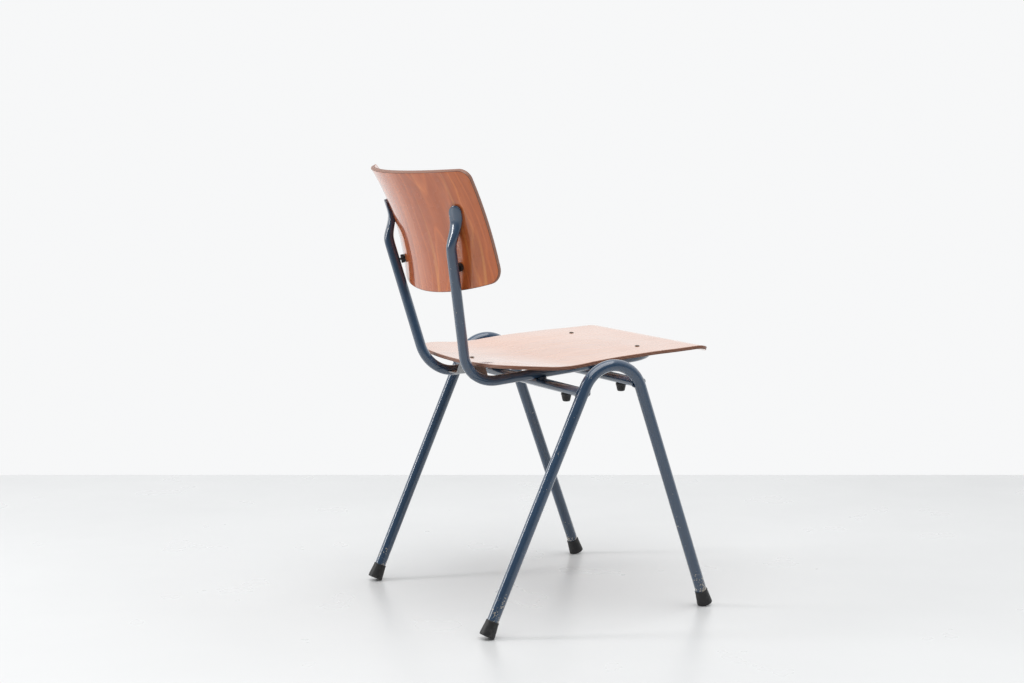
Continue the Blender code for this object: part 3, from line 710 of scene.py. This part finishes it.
def back_point(u, v, depth):
    """Point at u along the curve, v up the slope and depth behind the rear face."""
    angle = u / BACK_RADIUS
    reach = BACK_RADIUS + depth
    sideways = Vector((1, 0, 0)) * (reach * math.sin(angle))
    forward = BACK_RADIUS - reach * math.cos(angle) + bulge(v)
    return BACK_FOOT + BACK_UP * v + sideways + BACK_FORWARD * forward


def round_corners(x, y, half_width, length, first_corner, last_corner):
    """Move a point of a plain four-cornered sheet so that its two pairs of corners come out round."""
    out = abs(x)
    for radius, beyond in ((first_corner, first_corner - y), (last_corner, last_corner - length + y)):
        aside = out - half_width + radius
        if aside > 0 and beyond > 0:
            pull = max(aside, beyond) / math.hypot(aside, beyond)
            out = half_width - radius + aside * pull
            y += (beyond - beyond * pull) * (1 if radius is first_corner else -1)
    return math.copysign(out, x), y


def back_place(across, along):
    """Distance across and up the sheet for shares of its width (-1 to 1) and height (0 to 1)."""
    u, v = across * BACK_HALF_WIDTH, along * BACK_HEIGHT
    u, v = round_corners(u, v, BACK_HALF_WIDTH, BACK_HEIGHT, BACK_BOTTOM_CORNER, BACK_TOP_CORNER)
    share = v / BACK_HEIGHT
    bow = 1 - (u / BACK_HALF_WIDTH) ** 2
    u *= 1 - 4 * BACK_WAIST / BACK_HALF_WIDTH * share * (1 - share)
    return u, v + share * BACK_TOP_BOW * bow - (1 - share) * BACK_BOTTOM_BOW * bow


def seat_profile():
    """Points (distance, y, z, slope) along the middle of the top face, rear to front."""
    steps = 240
    y, z = SEAT_REAR
    out = []
    for i in range(steps + 1):
        share = i / steps
        for (a, slope_a), (b, slope_b) in zip(SEAT_SLOPES, SEAT_SLOPES[1:]):
            if a <= share <= b:
                slope = math.radians(slope_a + (slope_b - slope_a) * (share - a) / (b - a))
        out.append((share * SEAT_LENGTH, y, z, slope))
        y -= math.cos(slope) * SEAT_LENGTH / steps
        z += math.sin(slope) * SEAT_LENGTH / steps
    return out


SEAT_PROFILE = seat_profile()


def seat_place(across, along):
    """Distance across and along the seat for shares of its width (-1 to 1) and length (0 to 1)."""
    half_width = SEAT_REAR_HALF_WIDTH + (SEAT_FRONT_HALF_WIDTH - SEAT_REAR_HALF_WIDTH) * along
    x, distance = across * half_width, along * SEAT_LENGTH
    return round_corners(x, distance, half_width, SEAT_LENGTH, SEAT_REAR_CORNER, SEAT_FRONT_CORNER)


def seat_point(x, distance):
    """Point of the top face at x and a distance from the rear edge."""
    spot = distance / SEAT_LENGTH * (len(SEAT_PROFILE) - 1)
    place = min(int(spot), len(SEAT_PROFILE) - 2)
    _, y0, z0, _ = SEAT_PROFILE[place]
    _, y1, z1, _ = SEAT_PROFILE[place + 1]
    t = spot - place
    fade = max(1 - distance / (SEAT_FADE * SEAT_LENGTH), 0.0)
    side = (x / SEAT_REAR_HALF_WIDTH) ** 2
    y = y0 + (y1 - y0) * t + SEAT_REAR_BOW * fade * (1 - side)
    z = z0 + (z1 - z0) * t + SEAT_SIDE_RISE * fade * side
    return Vector((x, y, z))


def mould_sheet(name, columns, rows, place, point, thickness, outward, face_material, edge_material):
    """Press a flat grid to the curved face, give it its thickness and break its edges."""
    bpy.ops.object.select_all(action="DESELECT")
    bpy.ops.mesh.primitive_grid_add(x_subdivisions=columns, y_subdivisions=rows, size=2, location=(0, 0, 0))
    sheet = bpy.context.object
    sheet.name = name
    mesh = sheet.data
    flat = []
    for vert in mesh.vertices:
        flat.append(place(vert.co.x, (vert.co.y + 1) / 2))
        vert.co = point(*flat[-1])
    grain = mesh.uv_layers.active
    for loop in mesh.loops:
        grain.data[loop.index].uv = flat[loop.vertex_index]
    mesh.update()
    if sum((face.normal for face in mesh.polygons), Vector()).dot(outward) < 0:
        mesh.flip_normals()
    inner = sheet.vertex_groups.new(name="inner_face")
    mesh.materials.append(face_material)
    mesh.materials.append(edge_material)
    apply_modifier(sheet, "SOLIDIFY", thickness=thickness, offset=-1, material_offset_rim=1,
                   shell_vertex_group=inner.name)
    depth = mesh.attributes.new("ply_depth", "FLOAT", "POINT")
    for vert in mesh.vertices:
        depth.data[vert.index].value = 1.0 if any(g.weight > 0.5 for g in vert.groups) else 0.0
    apply_modifier(sheet, "BEVEL", width=EDGE_ROUNDING, segments=3, limit_method="ANGLE",
                   angle_limit=math.radians(60), use_clamp_overlap=True, material=1)
    sheet.vertex_groups.clear()
    edit()
    return finish_mesh(35)


# ---- seat-and-back tube ----------------------------------------------------------------------------------

def smooth_share(value, start, end):
    t = min(max((value - start) / (end - start), 0.0), 1.0)
    return t * t * (3 - 2 * t)


def upright_on_back(v):
    """Curve distance u and depth behind the backrest of the straight upright axis at height v."""
    z = BACK_FOOT.z + v * math.cos(BACK_RECLINE)
    for _ in range(6):
        offset = BACK_CORNER + UPRIGHT_SLOPE * (z - BACK_CORNER.z) - BACK_FOOT
        z += (v - offset.dot(BACK_UP)) * math.cos(BACK_RECLINE)
    offset = BACK_CORNER + UPRIGHT_SLOPE * (z - BACK_CORNER.z) - BACK_FOOT
    across = BACK_RADIUS + bulge(v) - offset.dot(BACK_FORWARD)
    return math.atan2(offset.x, across) * BACK_RADIUS, math.hypot(offset.x, across) - BACK_RADIUS


def pressed_ring(v):
    """Centre, the two directions, half width, front and rear thickness of the pressed end at height v."""
    u, depth = upright_on_back(v)
    widened = smooth_share(v, PRESS_START_V, WIDE_V)
    thinned = smooth_share(v, THIN_START_V, TIP_V)
    thickness = 2 * TUBE_RADIUS + (TIP_THICKNESS - 2 * TUBE_RADIUS) * thinned
    front = thickness * (0.5 + (TIP_FRONT_SHARE - 0.5) * widened)
    half_width = TUBE_RADIUS + (TIP_HALF_WIDTH - TUBE_RADIUS) * widened
    u += TIP_SPLAY * widened
    apart = max(depth - TUBE_RADIUS - CONTACT_GAP, 0) * (1 - smooth_share(v, MEET_START_V, MEET_END_V))
    centre = back_point(u, v, apart + CONTACT_GAP + front)
    angle = u / BACK_RADIUS
    across = Vector((1, 0, 0)) * math.cos(angle) + BACK_FORWARD * math.sin(angle)
    return centre, across, across.cross(BACK_UP), half_width, front, thickness - front


def make_frame_tube():
    """Half the tube from the middle of the front run up to the pressed tip, then its mirror image."""
    middle = Vector((0, FRONT_CORNER.y, FRONT_CORNER.z))
    first_pressed = pressed_ring(PRESS_START_V)[0]
    front_start, front_end, *front_turn = corner_arc(middle, FRONT_CORNER, BACK_CORNER, FRONT_BEND)
    back_start, back_end, *back_turn = corner_arc(FRONT_CORNER, BACK_CORNER, first_pressed, BACK_BEND)
    start_ring("seat_back_tube", middle, Vector((1, 0, 0)), TUBE_RADIUS)
    draw_out(front_start - middle)
    bend_round(*front_turn, 24)
    draw_out(back_start - front_end)
    bend_round(*back_turn, 28)
    draw_out(first_pressed - back_end)
    done()
    tube = bpy.context.object
    ring = [vert.co.copy() for vert in tube.data.vertices if vert.select]
    centre, across, behind = pressed_ring(PRESS_START_V)[:3]
    angles = [math.atan2((co - centre).dot(behind), (co - centre).dot(across)) for co in ring]
    rings = 16
    length = TIP_V - TIP_HALF_WIDTH - PRESS_START_V
    stations = [(PRESS_START_V + length * i / rings, 1.0) for i in range(1, rings + 1)]
    for step in range(1, 10):
        turn = math.radians(9.6 * step)
        stations.append((TIP_V - TIP_HALF_WIDTH * (1 - math.sin(turn)), math.cos(turn)))
    for v, shrink in stations:
        edit()
        draw_out((0, 0, 0.001))
        done()
        centre, across, behind, half_width, front, rear = pressed_ring(v)
        end_ring = [vert for vert in tube.data.vertices if vert.select]
        for vert, angle in zip(end_ring, angles):
            rise = math.sin(angle) * (rear if math.sin(angle) > 0 else front) * math.sqrt(shrink)
            vert.co = centre + across * (math.cos(angle) * half_width * shrink) + behind * rise
    edit()
    close_end()
    finish_mesh(60)
    apply_modifier(tube, "MIRROR", use_axis=(True, False, False), merge_threshold=0.0001)
    return tube


# ---- build -----------------------------------------------------------------------------------------------

def build_frame_pieces():
    """Leg arches, seat-and-back tube, caps, buffers and cross tubes with their welds."""
    enamel = frame_paint()
    rubber = black_rubber()
    arch = make_leg_arch()
    in_place(mirrored_copy(arch, "leg_arch_twin"), "leg_arch_right", enamel)
    in_place(arch, "leg_arch_left", enamel)
    in_place(make_frame_tube(), "seat_back_tube", enamel)
    for level, end in (("rear", 1), ("front", -1)):
        cap = make_foot_cap(end, level == "front")
        in_place(mirrored_copy(cap, "cap_twin"), f"foot_cap_{level}_right", rubber)
        in_place(cap, f"foot_cap_{level}_left", rubber)
        place = CROSS_PLACES[level]
        buffer = make_buffer(place)
        in_place(mirrored_copy(buffer, "buffer_twin"), f"bumper_{level}_right", rubber)
        in_place(buffer, f"bumper_{level}_left", rubber)
        cross = make_cross_tube(place)
        welds = [make_end_weld(place, side) for side, _ in SIDES]
        share = (BACK_CORNER.y - place[0]) / (BACK_CORNER.y - FRONT_CORNER.y)
        run_x = BACK_CORNER.x + (FRONT_CORNER.x - BACK_CORNER.x) * share
        for side, _ in SIDES:
            for edge in (-1, 1):
                x = side * (run_x + edge * 0.0062)
                welds.append(make_crossing_weld(x, place[0], place[1] + CROSS_HALF_HEIGHT + 0.0004, x * 90))
        in_place(join_pieces(cross, welds), f"cross_tube_{level}", enamel)
    return enamel, rubber


def build_sheets():
    """Backrest and seat, each with its own veneer material and a shared edge finish; the seat's is the
    backrest's wood paled by painted glare.
    """
    edge = ply_edge()
    tones = ((0.330, 0.070, 0.019), (0.470, 0.110, 0.030), (0.620, 0.165, 0.045), (0.800, 0.290, 0.080))
    hearts = ((-0.088, 0.300), (-0.075, -0.060))
    face = veneer("backrest_veneer", hearts, tones, (0.80, 0.33, 0.09), (0.16, 0.040, 0.015), 0.50)
    rear = Vector((0, 1, 0))
    back = mould_sheet("backrest", 96, 48, back_place, lambda u, v: back_point(u, v, 0),
                       BACK_THICKNESS, rear, face, edge)
    in_place(back, "backrest")
    # Same wood as the backrest: the seat's paler tones, gold and pores and its weaker figure are painted
    # glare of its top face.
    tones = ((0.520, 0.255, 0.155), (0.560, 0.285, 0.178), (0.600, 0.315, 0.200), (0.640, 0.345, 0.225))
    hearts = ((0.045, 0.560), (-0.080, -0.200))
    face = veneer("seat_veneer_painted_glare", hearts, tones, (0.66, 0.36, 0.22), (0.38, 0.17, 0.10), 0.22)
    up = Vector((0, 0, 1))
    seat = mould_sheet("seat", 72, 80, seat_place, seat_point, SEAT_THICKNESS, up, face, edge)
    in_place(seat, "seat")


def dress_kept_nodes(enamel, rubber):
    """Brackets, rivets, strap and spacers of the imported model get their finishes."""
    zinc = zinc_plate()
    tarnished = rivet_metal()
    finishes = {"seat_bracket": enamel, "back_rivet_upper": enamel, "back_rivet_lower": tarnished,
                "seat_rivet": tarnished, "rear_strap": zinc, "back_spacer": rubber}
    for name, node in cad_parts.items():
        for start, material in finishes.items():
            if name.startswith(start):
                node.data.materials.clear()
                node.data.materials.append(material)


def light_the_room():
    """A narrow tall softbox to the left and a wide panel overhead, both aimed at the chair."""
    chair = Vector((0, 0, 0.45))
    left = -RIGHT
    beside = chair + left * 2.5 - AHEAD * 0.1 + Vector((0, 0, 1.3))
    overhead = chair - AHEAD * 0.9 - left * 0.4 + Vector((0, 0, 2.8))
    add_softbox("tall_softbox", beside, chair, 0.30, 2.6, 34)
    add_softbox("ceiling_panel", overhead, chair, 3.6, 3.2, 100)


add_camera()
add_world()
add_room()
light_the_room()
enamel, rubber = build_frame_pieces()
build_sheets()
dress_kept_nodes(enamel, rubber)
bpy.context.scene.view_settings.view_transform = "Standard"
